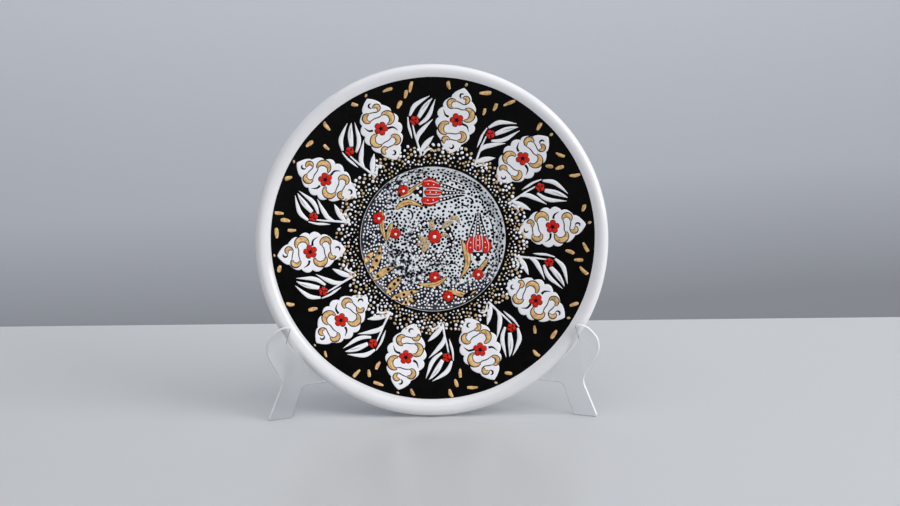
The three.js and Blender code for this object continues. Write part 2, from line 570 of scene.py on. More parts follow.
def add_node(tree, kind, links=(), **settings):
    """A node with its settings, and its inputs linked or set from (socket name or number, source)."""
    node = tree.nodes.new(kind)
    for key, value in settings.items():
        setattr(node, key, value)
    for key, source in links:
        socket = node.inputs[key]
        if isinstance(source, bpy.types.NodeSocket):
            tree.links.new(source, socket)
        else:
            socket.default_value = source
    return node


def maths_node(tree, operation, a, b=0.0):
    return add_node(tree, "ShaderNodeMath", ((0, a), (1, b)), operation=operation).outputs[0]


def finish_tree(tree, geometry, material, output):
    """Every tree ends in real geometry with its material set."""
    real = add_node(tree, "GeometryNodeRealizeInstances", (("Geometry", geometry),))
    smooth_node = add_node(tree, "GeometryNodeSetShadeSmooth", (("Geometry", real.outputs[0]),))
    painted = add_node(
        tree, "GeometryNodeSetMaterial", (("Geometry", smooth_node.outputs[0]), ("Material", material)))
    tree.links.new(painted.outputs[0], output.inputs[0])


def grow(name, seed_mesh, tree, values):
    """Runs a tree on a mesh and gives the result as a plain mesh."""
    holder = new_object(name + "_seed", seed_mesh)
    modifier = holder.modifiers.new("grow", "NODES")
    modifier.node_group = tree
    for item in tree.interface.items_tree:
        if item.item_type == "SOCKET" and item.in_out == "INPUT" and item.name in values:
            modifier[item.identifier] = values[item.name]
    depsgraph = bpy.context.evaluated_depsgraph_get()
    made = bpy.data.meshes.new_from_object(holder.evaluated_get(depsgraph), depsgraph=depsgraph)
    holder.modifiers.remove(modifier)
    bpy.data.objects.remove(holder)
    made.name = name
    return made


def turned_tree():
    """Turns a profile about the Z axis. The seed mesh's vertices are the profile, in the XZ plane."""
    tree, given, output = new_tree("turned_profile", [
        ("Profile Points", "Int", 8),
        ("Segments", "Int", 64),
        ("Material", "Material", None),
    ])
    columns = maths_node(tree, "ADD", given.outputs["Segments"], 1)
    grid = add_node(tree, "GeometryNodeMeshGrid", (
        ("Size X", 1.0), ("Size Y", 1.0),
        ("Vertices X", columns), ("Vertices Y", given.outputs["Profile Points"])))
    position = add_node(tree, "GeometryNodeInputPosition").outputs[0]
    place = add_node(tree, "ShaderNodeSeparateXYZ", ((0, position),))
    angle = maths_node(tree, "MULTIPLY", maths_node(tree, "ADD", place.outputs["X"], 0.5), TAU)
    last = maths_node(tree, "SUBTRACT", given.outputs["Profile Points"], 1)
    row = maths_node(tree, "ROUND", maths_node(
        tree, "MULTIPLY", maths_node(tree, "ADD", place.outputs["Y"], 0.5), last))
    sample = add_node(tree, "GeometryNodeSampleIndex", data_type="FLOAT_VECTOR", domain="POINT")
    for label, source in (("Geometry", given.outputs["Geometry"]), ("Value", position), ("Index", row)):
        tree.links.new(source, sample.inputs[label])
    profile = add_node(tree, "ShaderNodeSeparateXYZ", ((0, sample.outputs[0]),))
    x = maths_node(tree, "MULTIPLY", profile.outputs["X"], maths_node(tree, "COSINE", angle))
    y = maths_node(tree, "MULTIPLY", profile.outputs["X"], maths_node(tree, "SINE", angle))
    spot = add_node(tree, "ShaderNodeCombineXYZ", (("X", x), ("Y", y), ("Z", profile.outputs["Z"])))
    moved = add_node(tree, "GeometryNodeSetPosition", (
        ("Geometry", grid.outputs["Mesh"]), ("Position", spot.outputs[0])))
    merged = add_node(tree, "GeometryNodeMergeByDistance", (
        ("Geometry", moved.outputs[0]), ("Distance", 2e-6)))
    finish_tree(tree, merged.outputs[0], given.outputs["Material"], output)
    return tree


def drops_tree():
    """Sets a low round drop of enamel on each point, as wide as the attribute named size says."""
    tree, given, output = new_tree("enamel_drops", [
        ("Drop Height", "Float", 0.5),
        ("Sides", "Int", 8),
        ("Seed", "Int", 1),
        ("Material", "Material", None),
    ])
    ball = add_node(tree, "GeometryNodeMeshUVSphere", (
        ("Segments", given.outputs["Sides"]), ("Rings", 5), ("Radius", 1.0)))
    squat = add_node(tree, "ShaderNodeCombineXYZ", (
        ("X", 1.0), ("Y", 1.0), ("Z", given.outputs["Drop Height"])))
    drop = add_node(tree, "GeometryNodeTransform", (
        ("Geometry", ball.outputs["Mesh"]), ("Scale", squat.outputs[0])))
    size = add_node(tree, "GeometryNodeInputNamedAttribute", (("Name", "size"),), data_type="FLOAT")
    seed = ("Seed", given.outputs["Seed"])
    stretch = add_node(tree, "FunctionNodeRandomValue", (
        ("Min", (0.78, 0.78, 0.8)), ("Max", (1.24, 1.24, 1.1)), seed), data_type="FLOAT_VECTOR")
    scale = add_node(tree, "ShaderNodeVectorMath", operation="SCALE")
    tree.links.new(stretch.outputs["Value"], scale.inputs[0])
    tree.links.new(size.outputs["Attribute"], scale.inputs["Scale"])
    spin = add_node(tree, "FunctionNodeRandomValue", (
        ("Min", (0, 0, 0)), ("Max", (0, 0, TAU)), seed), data_type="FLOAT_VECTOR")
    placed = add_node(tree, "GeometryNodeInstanceOnPoints", (
        ("Points", given.outputs["Geometry"]), ("Instance", drop.outputs[0]),
        ("Rotation", spin.outputs["Value"]), ("Scale", scale.outputs[0])))
    finish_tree(tree, placed.outputs[0], given.outputs["Material"], output)
    return tree


# ================= the plate itself =================
def eased(points, rounds):
    """Rounds a profile by cutting its corners, and keeps both its ends."""
    for _ in range(rounds):
        cut = [points[0]]
        for a, b in zip(points, points[1:]):
            cut += [(lerp(a[0], b[0], t), lerp(a[1], b[1], t)) for t in (0.25, 0.75)]
        points = cut + [points[-1]]
    return points


def plate_profile():
    """From the middle of the back, over the foot ring and the lip, to the middle of the front."""
    back = [(r, FOOT[0][1]) for r in (0.0, 12.0, 24.0, 34.0, 41.0)]
    foot = eased(FOOT[1:], 3)
    flange_back = [bezier(BACK_FLANGE, i / 16) for i in range(1, 17)]
    lip = spline(LIP, LIP_STEPS)[1:]
    flange = [bezier(FRONT_FLANGE, i / 36) for i in range(1, 37)]
    step = [bezier(STEP, i / 9) for i in range(1, 10)]
    floor = [(r, FLOOR_DEPTH) for r in (30.0, 24.0, 17.0, 10.0, 4.0, 0.0)]
    return back + foot + flange_back + lip + flange + step + floor


def drill(mesh_object, bores):
    """Cuts round bores, given as (centre, direction, radius, length) in metres."""
    for centre, direction, radius, length in bores:
        bm = bmesh.new()
        turn = direction.to_track_quat("Z", "Y").to_matrix().to_4x4()
        bmesh.ops.create_cone(
            bm, cap_ends=True, segments=32, radius1=radius, radius2=radius, depth=length,
            matrix=Matrix.Translation(centre) @ turn)
        combine(mesh_object, solid_mesh("cutter", bm), "DIFFERENCE")


def combine(target, other_mesh, operation):
    """Joins or cuts with the exact solver and keeps the result as a plain mesh."""
    other = new_object("boolean_operand", other_mesh)
    modifier = target.modifiers.new("boolean", "BOOLEAN")
    modifier.operation = operation
    modifier.solver = "EXACT"
    modifier.object = other
    bake(target)
    bpy.data.objects.remove(other)


def bake(target):
    """Applies every modifier of an object to its mesh."""
    depsgraph = bpy.context.evaluated_depsgraph_get()
    made = bpy.data.meshes.new_from_object(target.evaluated_get(depsgraph), depsgraph=depsgraph)
    target.modifiers.clear()
    target.data = made


def shade_by_angle(mesh, degrees):
    """Smooth shading, but for edges that turn by more than some degrees."""
    smooth(mesh)
    bm = bmesh.new()
    bm.from_mesh(mesh)
    limit = math.radians(degrees)
    for edge in bm.edges:
        if len(edge.link_faces) == 2 and edge.calc_face_angle(0.0) > limit:
            edge.smooth = False
    bm.to_mesh(mesh)
    bm.free()


def make_plate_body(sizes, colours):
    """The turned ceramic body, with its two hanging holes drilled through the foot ring."""
    profile = new_mesh("plate_profile", [(r * MM, 0, -depth * MM) for r, depth in plate_profile()])
    material = white_glaze(colours)
    mesh = grow("glazed_plate", profile, turned_tree(), {
        "Profile Points": len(profile.vertices), "Segments": sizes.segments, "Material": material})
    outward(mesh)
    holder = new_object("plate_holder", mesh)
    bores = []
    for side in (-1, 1):
        x, y = polar(HOLE_CIRCLE, 90 + side * HOLE_SPREAD)
        middle = Vector((x * MM, y * MM, -HOLE_DEPTH * MM))
        bores.append((middle, Vector((x, y, 0)), HOLE_RADIUS * MM, HOLE_LENGTH * MM))
    drill(holder, bores)
    mesh = holder.data
    bpy.data.objects.remove(holder)
    mesh.transform(TO_PLATE)
    shade_by_angle(mesh, 40)
    show("glazed_plate", mesh, material, "plate", ["plate_body"])


def outward(mesh):
    """Turns every face of a closed shell to point out of it."""
    bm = bmesh.new()
    bm.from_mesh(mesh)
    bmesh.ops.recalc_face_normals(bm, faces=bm.faces)
    bm.to_mesh(mesh)
    bm.free()


def shell_between(name, radii, lift, wobble, segments=240):
    """A thin closed skin on the front between the first and last radius, with hand painted edges."""
    points, faces = [], []
    rows = [(r, lift) for r in radii] + [(r, -0.05) for r in reversed(radii)]
    for i in range(segments):
        angle = TAU * i / segments
        for j, (radius, rise) in enumerate(rows):
            edge = smoothstep(radii[-2], radii[-1], radius)
            waves = sum(math.sin(n * angle + n * n) / n ** 0.5 for n in (3, 7, 13, 29))
            r = radius + edge * wobble * waves
            points.append(on_glaze(r * math.cos(angle), r * math.sin(angle), rise))
    count = len(rows)
    for i in range(segments):
        k = (i + 1) % segments
        for j in range(count):
            n = (j + 1) % count
            faces.append((i * count + j, i * count + n, k * count + n, k * count + j))
    mesh = new_mesh(name, points, faces)
    mesh.transform(TO_PLATE)
    outward(mesh)
    shade_by_angle(mesh, 50)
    return mesh


def make_black_field(colours):
    """Runs from the well's edge out to the white rim."""
    radii = [lerp(BLACK_INNER, BLACK_OUTER, i / 30) for i in range(31)]
    mesh = shell_between("black_flange", radii, FIELD_LIFT, 0.13)
    show("black_flange", mesh, black_glaze(colours), "plate")


# ================= centre =================
def well_navy_and_shade(x, y):
    """How dark the well's ground is: a navy wash that the plate has, with painted shade added on the
    lower left and on the well's sloping edge; least at the upper right, most at the lower left.
    """
    radius = math.hypot(x, y)
    lower_left = smoothstep(-12, 30, -0.62 * x - 0.78 * y)
    # The well's sloping edge, darkest at the lower left: painted shade.
    rim = smoothstep(23, 35, radius) * (0.2 + 0.8 * smoothstep(-30, 14, -0.75 * x - 0.65 * y))
    rosette = math.exp(-((radius - 9.5) / 3.2) ** 2) * (0.45 + 0.55 * smoothstep(-6, 6, -x - y))
    swirl = 0.1 * math.sin(0.35 * x + 0.9) * math.sin(0.31 * y - 0.4)
    return 0.05 + 0.43 * lower_left + 0.7 * rim + 0.66 * rosette + swirl


def make_centre_ground(colours):
    """The well's ground, whose navy wash and painted shade are an attribute of its points."""
    segments, rings = 180, 60
    points = [(0.0, 0.0)]
    for j in range(1, rings + 1):
        radius = CENTRE_RADIUS * j / rings
        points += [polar(radius, 360 * i / segments) for i in range(segments)]
    verts = [on_glaze(x, y, FIELD_LIFT) for x, y in points]
    faces = [(0, 1 + i, 1 + (i + 1) % segments) for i in range(segments)]
    for j in range(rings - 1):
        inner, outer = 1 + j * segments, 1 + (j + 1) * segments
        for i in range(segments):
            k = (i + 1) % segments
            faces.append((inner + i, outer + i, outer + k, inner + k))
    mesh = new_mesh("centre_ground", verts, faces)
    add_floats(mesh, "navy_and_painted_shade", "POINT", [well_navy_and_shade(x, y) for x, y in points])
    mesh.transform(TO_PLATE)
    smooth(mesh)
    show("centre_ground", mesh, centre_glaze(colours), "plate")


# A leaf is its spine, with its widest width; a pod also holds a row of dark seeds.
CENTRE_LEAVES = [
    ([(-17.0, 21.6), (-13.2, 23.6), (-9.5, 26.4), (-5.0, 29.6)], 2.1),
    ([(-19.0, 15.4), (-16.0, 18.0), (-11.5, 19.1), (-5.0, 16.6)], 2.8),
    ([(-26.0, 15.0), (-26.4, 9.0), (-25.9, 4.0), (-24.2, -1.0)], 2.3),
    ([(-20.9, 8.6), (-22.6, 4.2), (-23.9, -1.2)], 2.3),
    ([(14.8, -0.6), (17.4, -7.6), (17.6, -14.5), (13.9, -20.9)], 3.1),
    ([(28.6, -10.4), (25.2, -15.2), (19.0, -20.3)], 2.0),
    ([(-8.0, -23.4), (-2.0, -24.2), (3.4, -22.8), (7.2, -19.6)], 2.5),
    ([(7.6, -26.9), (12.0, -28.4), (17.0, -29.4), (22.6, -27.1)], 2.6),
]
CENTRE_PODS = [
    ([(-35.4, -12.0), (-33.4, -9.2), (-31.0, -6.7)], 3.1, 1),
    ([(-33.0, -17.6), (-30.6, -13.4), (-28.2, -8.6), (-27.2, -3.4)], 3.4, 3),
    ([(-31.4, -21.2), (-27.8, -18.6), (-24.4, -16.2), (-20.0, -14.6)], 3.4, 2),
    ([(-24.5, -28.4), (-21.6, -25.0), (-18.8, -22.0), (-16.8, -19.8)], 3.8, 3),
    ([(-22.0, -31.0), (-17.6, -29.7), (-12.8, -28.2), (-7.0, -27.2)], 3.1, 3),
    ([(-16.6, -33.9), (-13.4, -32.7), (-10.6, -31.6), (-8.5, -30.4)], 2.7, 2),
]
# Flowers as (x, y, radius).
CENTRE_FLOWERS = [(-15.3, 25.2, 2.7), (-28.1, 11.1, 3.1), (-19.5, 2.9, 2.8), (0.8, -20.0, 3.0),
                  (7.8, -30.1, 3.0), (23.3, -18.6, 2.8)]
ROSETTE = (0.8, 1.1, 3.6)
CREAM_PETALS = [
    ([(0.2, 4.6), (-0.6, 7.6), (0.2, 10.4)], 2.5),
    ([(-2.2, 0.6), (-5.2, -0.2), (-7.4, 1.6)], 2.4),
    ([(-1.8, -1.4), (-4.4, -4.6), (-5.4, -8.0)], 2.7),
    ([(3.8, 1.6), (6.2, 2.2), (8.4, 1.2)], 2.0),
    ([(-3.2, -0.8), (-6.8, -2.8), (-9.0, -2.6)], 1.8),
    ([(4.6, 5.4), (7.6, 7.8), (10.8, 8.8)], 2.6),
    ([(8.2, 10.4), (11.8, 10.8), (13.8, 8.0)], 2.0),
]
# Small dark commas of the ground, with their widest widths.
CRESCENTS = [
    (arc((-13.4, 12.3), 3.0, 100, -175), 0.9), (arc((22.6, 24.6), 1.9, 130, -150), 0.9),
    (arc((17.6, 17.8), 3.6, 80, -75), 0.9), (arc((15.8, 14.3), 3.0, 120, -100), 0.8),
    (arc((24.0, 19.0), 1.8, 100, -150), 0.9), (arc((6.8, -1.6), 3.0, 60, -120), 0.8),
    (arc((10.0, -16.2), 3.4, 150, -130), 0.8),
    ([(28.6, 12.2), (30.8, 6.6), (31.6, 0.8), (31.0, -4.2)], 0.6),
    ([(9.2, 30.0), (13.0, 29.0), (16.6, 27.2)], 0.5),
    ([(-3.6, -15.0), (0.4, -13.4), (3.4, -15.2)], 0.8),
]


# A tulip bud that points up in its own axes: red lobes, dark tails and base, pale veins and drops.
BUD_LOBES = [
    ([(-4.0, -6.4), (-5.1, -1.6), (-3.1, 4.0)], 4.6),
    ([(0, -5.0), (0.1, 0.0), (0, 5.2)], 5.4),
    ([(4.0, -6.4), (5.1, -1.6), (3.1, 4.0)], 4.6),
]
BUD_TAILS = [
    ([(-4.8, 1.2), (-3.6, 6.4), (-1.9, 11.2), (-1.0, 17.2)], 3.1),
    ([(0.0, 3.6), (0.1, 8.4), (0.0, 13.0), (0.1, 17.6)], 2.9),
    ([(4.8, 1.2), (3.6, 6.4), (2.1, 11.2), (1.2, 17.2)], 3.1),
    ([(0, -5.4), (0, -8.0), (0, -10.8)], 7.4),
]
BUD_VEINS = [
    [(-5.6, 1.6), (-4.6, 7.0), (-2.9, 12.0), (-1.8, 17.4)],
    [(-2.4, 1.4), (-1.7, 7.4), (-0.9, 12.6), (-0.4, 17.0)],
    [(2.4, 1.4), (1.7, 7.4), (0.9, 12.6), (0.5, 17.0)],
    [(5.6, 1.6), (4.6, 7.0), (3.0, 12.0), (2.0, 17.4)],
    [(-2.4, -5.6), (-2.7, 0), (-2.1, 4.6)], [(2.4, -5.6), (2.7, 0), (2.1, 4.6)],
    [(-5.8, -5.2), (-6.2, -1.2), (-4.6, 3.2)], [(5.8, -5.2), (6.2, -1.2), (4.6, 3.2)],
    [(-1.0, -4.2), (-1.1, 0.2), (-0.8, 4.4)], [(1.0, -4.2), (1.1, 0.2), (0.8, 4.4)],
]
BUD_BASE_DROPS = [(0, -6.9, 0.8), (-2.0, -8.6, 0.85), (2.0, -8.6, 0.85)]
BUD_LOBE_DROPS = [(-4.4, -2.8), (-4.2, 0.2), (0.0, -1.6), (0.0, 1.6), (4.4, -2.8), (4.2, 0.2)]
# Each bud of the well: where it stands, how far it is turned to the left, and its scale.
BUDS = [((0.2, 24.2), -92, 0.95), ((23.3, -2.2), 0, 0.9)]


def bud_drops():
    """Drops (x, y, radius) on the base, up the three tails, and on the lobes."""
    drops = list(BUD_BASE_DROPS)
    for side, start in ((-4.4, 4.4), (0.0, 5.6), (4.4, 4.4)):
        for i in range(6):
            y = start + 1.9 * i
            drops.append((side * (1 - 0.075 * (y - 3)), y, 0.6 - 0.04 * i))
    return drops + [(x, y, 0.36) for x, y in BUD_LOBE_DROPS]


def centre_tulips():
    """The parts of each bud of the well, in its place."""
    made = []
    for centre, degrees, scale in BUDS:
        axes = Placed(0, 0, scale=scale)
        axes.centre = centre
        axes.angle = math.radians(degrees)
        made.append({
            "lobes": [(axes.all(line), width) for line, width in BUD_LOBES],
            "tails": [(axes.all(line), width) for line, width in BUD_TAILS],
            "veins": [axes.all(line) for line in BUD_VEINS],
            "drops": [(*axes((x, y)), size) for x, y, size in bud_drops()],
        })
    return made


def leaf(line, width, count=0):
    """A leaf's spine and its widths at count points: thin ends, fullest a little before the middle."""
    count = count or len(line) + 2
    widths = [0.15 + width * math.sin(math.pi * (i / (count - 1)) ** 0.85) for i in range(count)]
    return spline(line, count - 1), widths


def outlined_stroke(dark, bright, line, widths, margin, under, over):
    """A stroke on a darker, wider one; under and over are the (lift, base) of each."""
    dark.stroke(line, [w + margin for w in widths], *under)
    bright.stroke(line, widths, *over)


def petal_outline(centre, radius, petals, start, bulge, steps=10):
    """A small flower seen from above, each petal a lobe of its outline."""
    points = []
    for i in range(petals * steps):
        angle = 360 * i / (petals * steps)
        lobe = abs(math.cos(math.radians(angle * petals / 2)))
        r = radius * (1 - bulge + bulge * lobe ** 0.6)
        points.append(moved(centre, polar(r, start + angle)))
    return points


def outlined_flower(dark, bright, centre, radius, petals, start, margin, under, over, bulge=0.22):
    """A flower on a darker, wider one; under and over are the (lift, base, crown) of each."""
    dark.patch(petal_outline(centre, radius + margin, petals, start, bulge), centre, *under)
    bright.patch(petal_outline(centre, radius, petals, start, bulge), centre, *over)


def covered_spots():
    """Circles (x, y, radius) that keep the well's dots off its painted motifs."""
    spots = [(x, y, r + 0.5) for x, y, r in CENTRE_FLOWERS + [ROSETTE]]
    lines = list(CENTRE_LEAVES) + [(line, width) for line, width, _ in CENTRE_PODS] + CREAM_PETALS
    lines += [(line, width + 0.2) for line, width in CRESCENTS]
    for tulip in centre_tulips():
        lines += tulip["lobes"] + tulip["tails"]
        lines += [(line, 0.6) for line in tulip["veins"]]
        spots += [(x, y, r + 0.3) for x, y, r in tulip["drops"][:3]]
    steps = 14
    for line, width in lines:
        for i, (x, y) in enumerate(spline(line, steps)):
            spots.append((x, y, width * 0.5 * math.sin(math.pi * (0.1 + 0.8 * i / steps)) + 0.35))
    return spots


def make_centre_motifs(paints):
    """The well's leaves, pods, flowers and buds, one mesh for each colour."""
    rng = random.Random(11)
    red, ochre, black, white, cream = (Enamel() for _ in range(5))
    for line, width in CENTRE_LEAVES:
        spine, widths = leaf(line, width)
        outlined_stroke(black, ochre, spine, widths, 0.9, (0.1, 0.05), (0.16, 0.12))
        black.stroke(spine[1:-1], [0.05, 0.22, 0.3, 0.05][:len(spine) - 2], 0.04, 0.27)
    for line, width, seeds in CENTRE_PODS:
        spine, widths = leaf(line, width)
        outlined_stroke(black, ochre, spine, widths, 0.8, (0.06, 0.04), (0.14, 0.15))
        along = spline(line, 20)
        for i in range(seeds):
            place = 5 + int(10 * i / (seeds - 1)) if seeds > 1 else 9
            black.dot(along[place], 0.82 + 0.14 * rng.random(), 0.12, 0.26)
    for x, y, radius in CENTRE_FLOWERS:
        start = rng.uniform(0, 72)
        outlined_flower(black, red, (x, y), radius, 5, start, 0.35, (0.08, 0.14), (0.14, 0.2, 0.08))
        for k in range(5):
            dx, dy = polar(radius * 0.62, start + 36 + 72 * k)
            groove = [(x + dx * share, y + dy * share) for share in (0.5, 1.3)]
            black.stroke(groove, [0.3, 0.12], 0.03, 0.4)
        white.dot((x + 0.2, y - 0.3), 0.72, 0.3, 0.36)
    x, y, radius = ROSETTE
    outlined_flower(black, red, (x, y), radius, 6, 10, 0.4, (0.08, 0.14), (0.16, 0.2, 0.1))
    white.dot((x, y), 0.95, 0.34, 0.4)
    for line, width in CREAM_PETALS:
        spine, widths = leaf(line, width)
        outlined_stroke(black, cream, spine, widths, 0.5, (0.1, 0.05), (0.16, 0.12))
        for spot in spine[1:-1]:
            black.dot(spot, 0.3, 0.06, 0.26, 8)
    for k in range(17):
        angle = 118 + 17.2 * k + rng.uniform(-2, 2)
        spot = polar(9.6 + rng.uniform(-0.5, 0.5), angle)
        black.dot(spot, 1.7, 0.12, 0.05)
        white.dot(spot, rng.uniform(0.6, 0.85), 0.3, 0.16)
    for line, width in CRESCENTS:
        black.stroke(*leaf(line, width, 7), 0.14, 0.06)
    for tulip in centre_tulips():
        for line, width in tulip["tails"]:
            black.stroke(spline(line, 6), [width * (1 - i / 6.5) ** 0.6 for i in range(7)], 0.1, 0.05)
        for line, width in tulip["lobes"]:
            outlined_stroke(black, red, *leaf(line, width, 7), 0.6, (0.1, 0.1), (0.14, 0.18))
        for line in tulip["veins"]:
            white.stroke(line, [0.1, 0.3, 0.22, 0.08][:len(line)], 0.08, 0.32)
        for x, y, size in tulip["drops"]:
            white.dot((x, y), size, 0.22, 0.3, 10)
    red.build("centre_red_flowers", paints["red"], "red_enamel")
    ochre.build("centre_ochre_leaves", paints["ochre"], "ochre_enamel")
    cream.build("centre_cream_petals", paints["cream"], "ochre_enamel")
    black.build("centre_black_brushwork", paints["ink"], "black_glaze")
    white.build("centre_white_drops", paints["white"], "white_enamel")


# ================= dots =================
def scattered(rng, tries, sample, spacing, blocked=()):
    """Random places that keep their spacing from each other and from blocked circles."""
    cell = 1.5
    grid, walls = {}, {}
    for spot in blocked:
        reach = int(math.ceil((spot[2] + cell) / cell))
        cx, cy = int(spot[0] // cell), int(spot[1] // cell)
        for i in range(-reach, reach + 1):
            for j in range(-reach, reach + 1):
                walls.setdefault((cx + i, cy + j), []).append(spot)
    kept = []
    for _ in range(tries):
        x, y = sample(rng)
        gap = spacing(x, y)
        key = (int(x // cell), int(y // cell))
        if any(math.hypot(x - bx, y - by) < br for bx, by, br in walls.get(key, ())):
            continue
        cells = ((key[0] + i, key[1] + j) for i in (-1, 0, 1) for j in (-1, 0, 1))
        if any(math.hypot(x - px, y - py) < gap for c in cells for px, py in grid.get(c, ())):
            continue
        grid.setdefault(key, []).append((x, y))
        kept.append((x, y))
    return kept


def build_drops(name, spots, height, seed, material):
    """Drops of enamel at (x, y, radius) spots, through Geometry Nodes."""
    mesh = new_mesh(name + "_points", [on_glaze(x, y, FIELD_LIFT) for x, y, _ in spots])
    add_floats(mesh, "size", "POINT", [r * MM for _, _, r in spots])
    tree = bpy.data.node_groups.get("enamel_drops") or drops_tree()
    made = grow(name, mesh, tree, {"Drop Height": height, "Seed": seed, "Material": material})
    made.transform(TO_PLATE)
    show(name, made, material, "plate")


def ring_edge(degrees):
    """The dotted ring swells between each medallion's inner tip and the next stem."""
    swell = abs(math.sin(math.radians(MOTIFS * (degrees - FIRST_ANGLE))))
    return 44.6 + 5.2 * swell ** 0.8


def make_dot_ring(paints):
    """White and gold drops between the well and the flange, kept off the motifs."""
    rng = random.Random(5)

    def sample(source):
        degrees = source.uniform(0, 360)
        edge = ring_edge(degrees)
        inner = CENTRE_RADIUS + 1.6
        return polar(math.sqrt(source.uniform(inner * inner, edge * edge)), degrees)

    def outward_share(x, y):
        return smoothstep(39.5, 47, math.hypot(x, y))

    blocked = []
    for k in range(MOTIFS):
        axes = Placed(MEDALLION_RADIUS, medallion_angle(k))
        blocked += [(*axes((0, -17 + 1.2 * i)), 0.8 + 0.55 * i) for i in range(5)]
        stem = Placed(0, medallion_angle(k) + TULIP_OFFSET)
        blocked += [(*stem((-0.4, 43.5 + i)), 0.7) for i in range(8)]
    spots = scattered(rng, 20000, sample, lambda x, y: 1.45 + 0.4 * outward_share(x, y), blocked)
    white, gold = [], []
    for x, y in spots:
        size = rng.uniform(0.36, 0.68) + 0.24 * outward_share(x, y)
        (white if rng.random() < 0.6 else gold).append((x, y, size))
    build_drops("dot_ring_white", white, 0.5, 3, paints["white"])
    build_drops("dot_ring_gold", gold, 0.5, 4, paints["cream"])


def make_centre_dots(paints):
    """Black drops on the light ground of the well, and white ones where it is dark."""
    rng = random.Random(23)
    limit = CENTRE_RADIUS - 0.8

    def sample(source):
        return polar(limit * math.sqrt(source.random()), source.uniform(0, 360))

    def gap(x, y):
        return lerp(1.8, 1.32, smoothstep(-0.02, 0.3, well_navy_and_shade(x, y)))

    spots = scattered(rng, 26000, sample, gap, covered_spots())
    black, white = [], []
    for x, y in spots:
        dark = well_navy_and_shade(x, y) + rng.uniform(-0.16, 0.16)
        if dark > 0.46:
            white.append((x, y, rng.uniform(0.42, 0.74)))
        else:
            black.append((x, y, rng.uniform(0.56, 0.9)))
    build_drops("centre_black_dots", black, 0.3, 7, paints["ink"])
    build_drops("centre_white_dots", white, 0.45, 8, paints["white"])


# ================= flange motifs =================
def medallion_outline(axes, length=17.6, half_width=9.3, scallops=6, steps=9):
    """A pointed oval with scalloped sides, anticlockwise from its inner tip."""
    side = []
    count = scallops * steps
    for i in range(count + 1):
        t = i / count
        along = lerp(-length, length, t)
        swell = math.sin(math.pi * t) ** 0.82
        scallop = abs(math.sin(math.pi * scallops * t)) ** 0.75
        side.append((half_width * swell + 1.5 * scallop * (0.35 + 0.65 * swell) * (0 < t < 1), along))
    right = side[:-1]
    left = [(-x, y) for x, y in reversed(side)][:-1]
    return axes.all(right + left)


# Scrolls of a medallion: centre, radius, start angle and sweep of the comma, and its greatest width.
SCROLLS = [
    ((1.9, 11.0), 1.35, 150, -230, 1.7),
    ((-3.7, 8.0), 2.0, 60, 215, 2.0),
    ((4.2, 4.1), 3.0, 115, -215, 2.5),
    ((-3.9, -4.6), 2.9, 75, 210, 2.4),
    ((3.5, -7.6), 2.2, 105, -215, 2.1),
    ((-2.6, -11.0), 1.35, 20, 230, 1.7),
]
SCROLL_LINKS = [
    [(-3.0, 10.1), (-0.6, 9.6), (1.9, 9.0), (3.6, 9.7)],
    [(-3.9, 5.8), (-1.0, 6.4), (1.8, 6.2), (4.6, 7.2)],
    [(4.1, 0.9), (2.6, 0.9)],
    [(-4.2, -7.6), (-1.4, -6.9), (1.4, -6.6), (3.7, -5.2)],
    [(-2.9, -9.4), (-0.4, -9.9), (1.6, -9.9), (3.3, -9.9)],
]


# Dark commas beside the flower and in both tips, each with its widths.
TIP_WIDTHS = [0.25, 0.7, 1.0, 1.05, 0.9, 0.6, 0.2]
MEDALLION_COMMAS = [
    ([(-4.2, 1.2), (-6.2, 1.9), (-7.7, 4.4)], [1.3, 1.0, 0.2]),
    ([(3.2, -0.9), (5.9, -1.5), (7.5, -4.1)], [1.3, 1.0, 0.2]),
    (arc((0.1, 13.1), 1.15, 60, 220, 6), TIP_WIDTHS),
    (arc((0.3, -13.3), 1.15, 70, -215, 6), TIP_WIDTHS),
]


def paint_medallion(axes, rng, paint):
    """A white ground with ochre scrolls, the thin lines that link them, and a red flower."""
    ground, ochre, ink, red = paint
    ground.patch(medallion_outline(axes), axes((0, 0)), 0.13, 0.04)
    for centre, radius, start, sweep, width in SCROLLS:
        spot = (centre[0] + rng.uniform(-0.25, 0.25), centre[1] + rng.uniform(-0.25, 0.25))
        line = axes.all(arc(spot, radius, start, sweep, 9))
        widths = [0.2 + width * math.sin(math.pi * min(i / 9 * 1.02, 1)) ** 0.9 for i in range(10)]
        outlined_stroke(ink, ochre, line, widths, 0.95, (0.05, 0.19), (0.1, 0.23))
    for line in SCROLL_LINKS:
        ink.stroke(axes.all(line), [0.45] + [0.6] * (len(line) - 2) + [0.45], 0.05, 0.19)
    for line, widths in MEDALLION_COMMAS:
        ink.stroke(axes.all(line), widths, 0.07, 0.19)
    paint_flower(axes, (rng.uniform(-0.3, 0.3), 0.4), 3.35, rng.uniform(0, 72), red, ink)


def paint_flower(axes, centre, radius, start, red, ink):
    """Five red petals with a dark edge, a dark eye and a fine line between petals."""
    middle = axes(centre)
    outlined_flower(ink, red, middle, radius, 5, start, 0.35, (0.06, 0.2), (0.12, 0.27, 0.06), 0.3)
    for k in range(5):
        groove = [moved(middle, polar(radius * share, start + 36 + 72 * k)) for share in (0.2, 0.62)]
        ink.stroke(groove, [0.45, 0.16], 0.04, 0.42)
    ink.dot(middle, radius * 0.3, 0.16, 0.4)


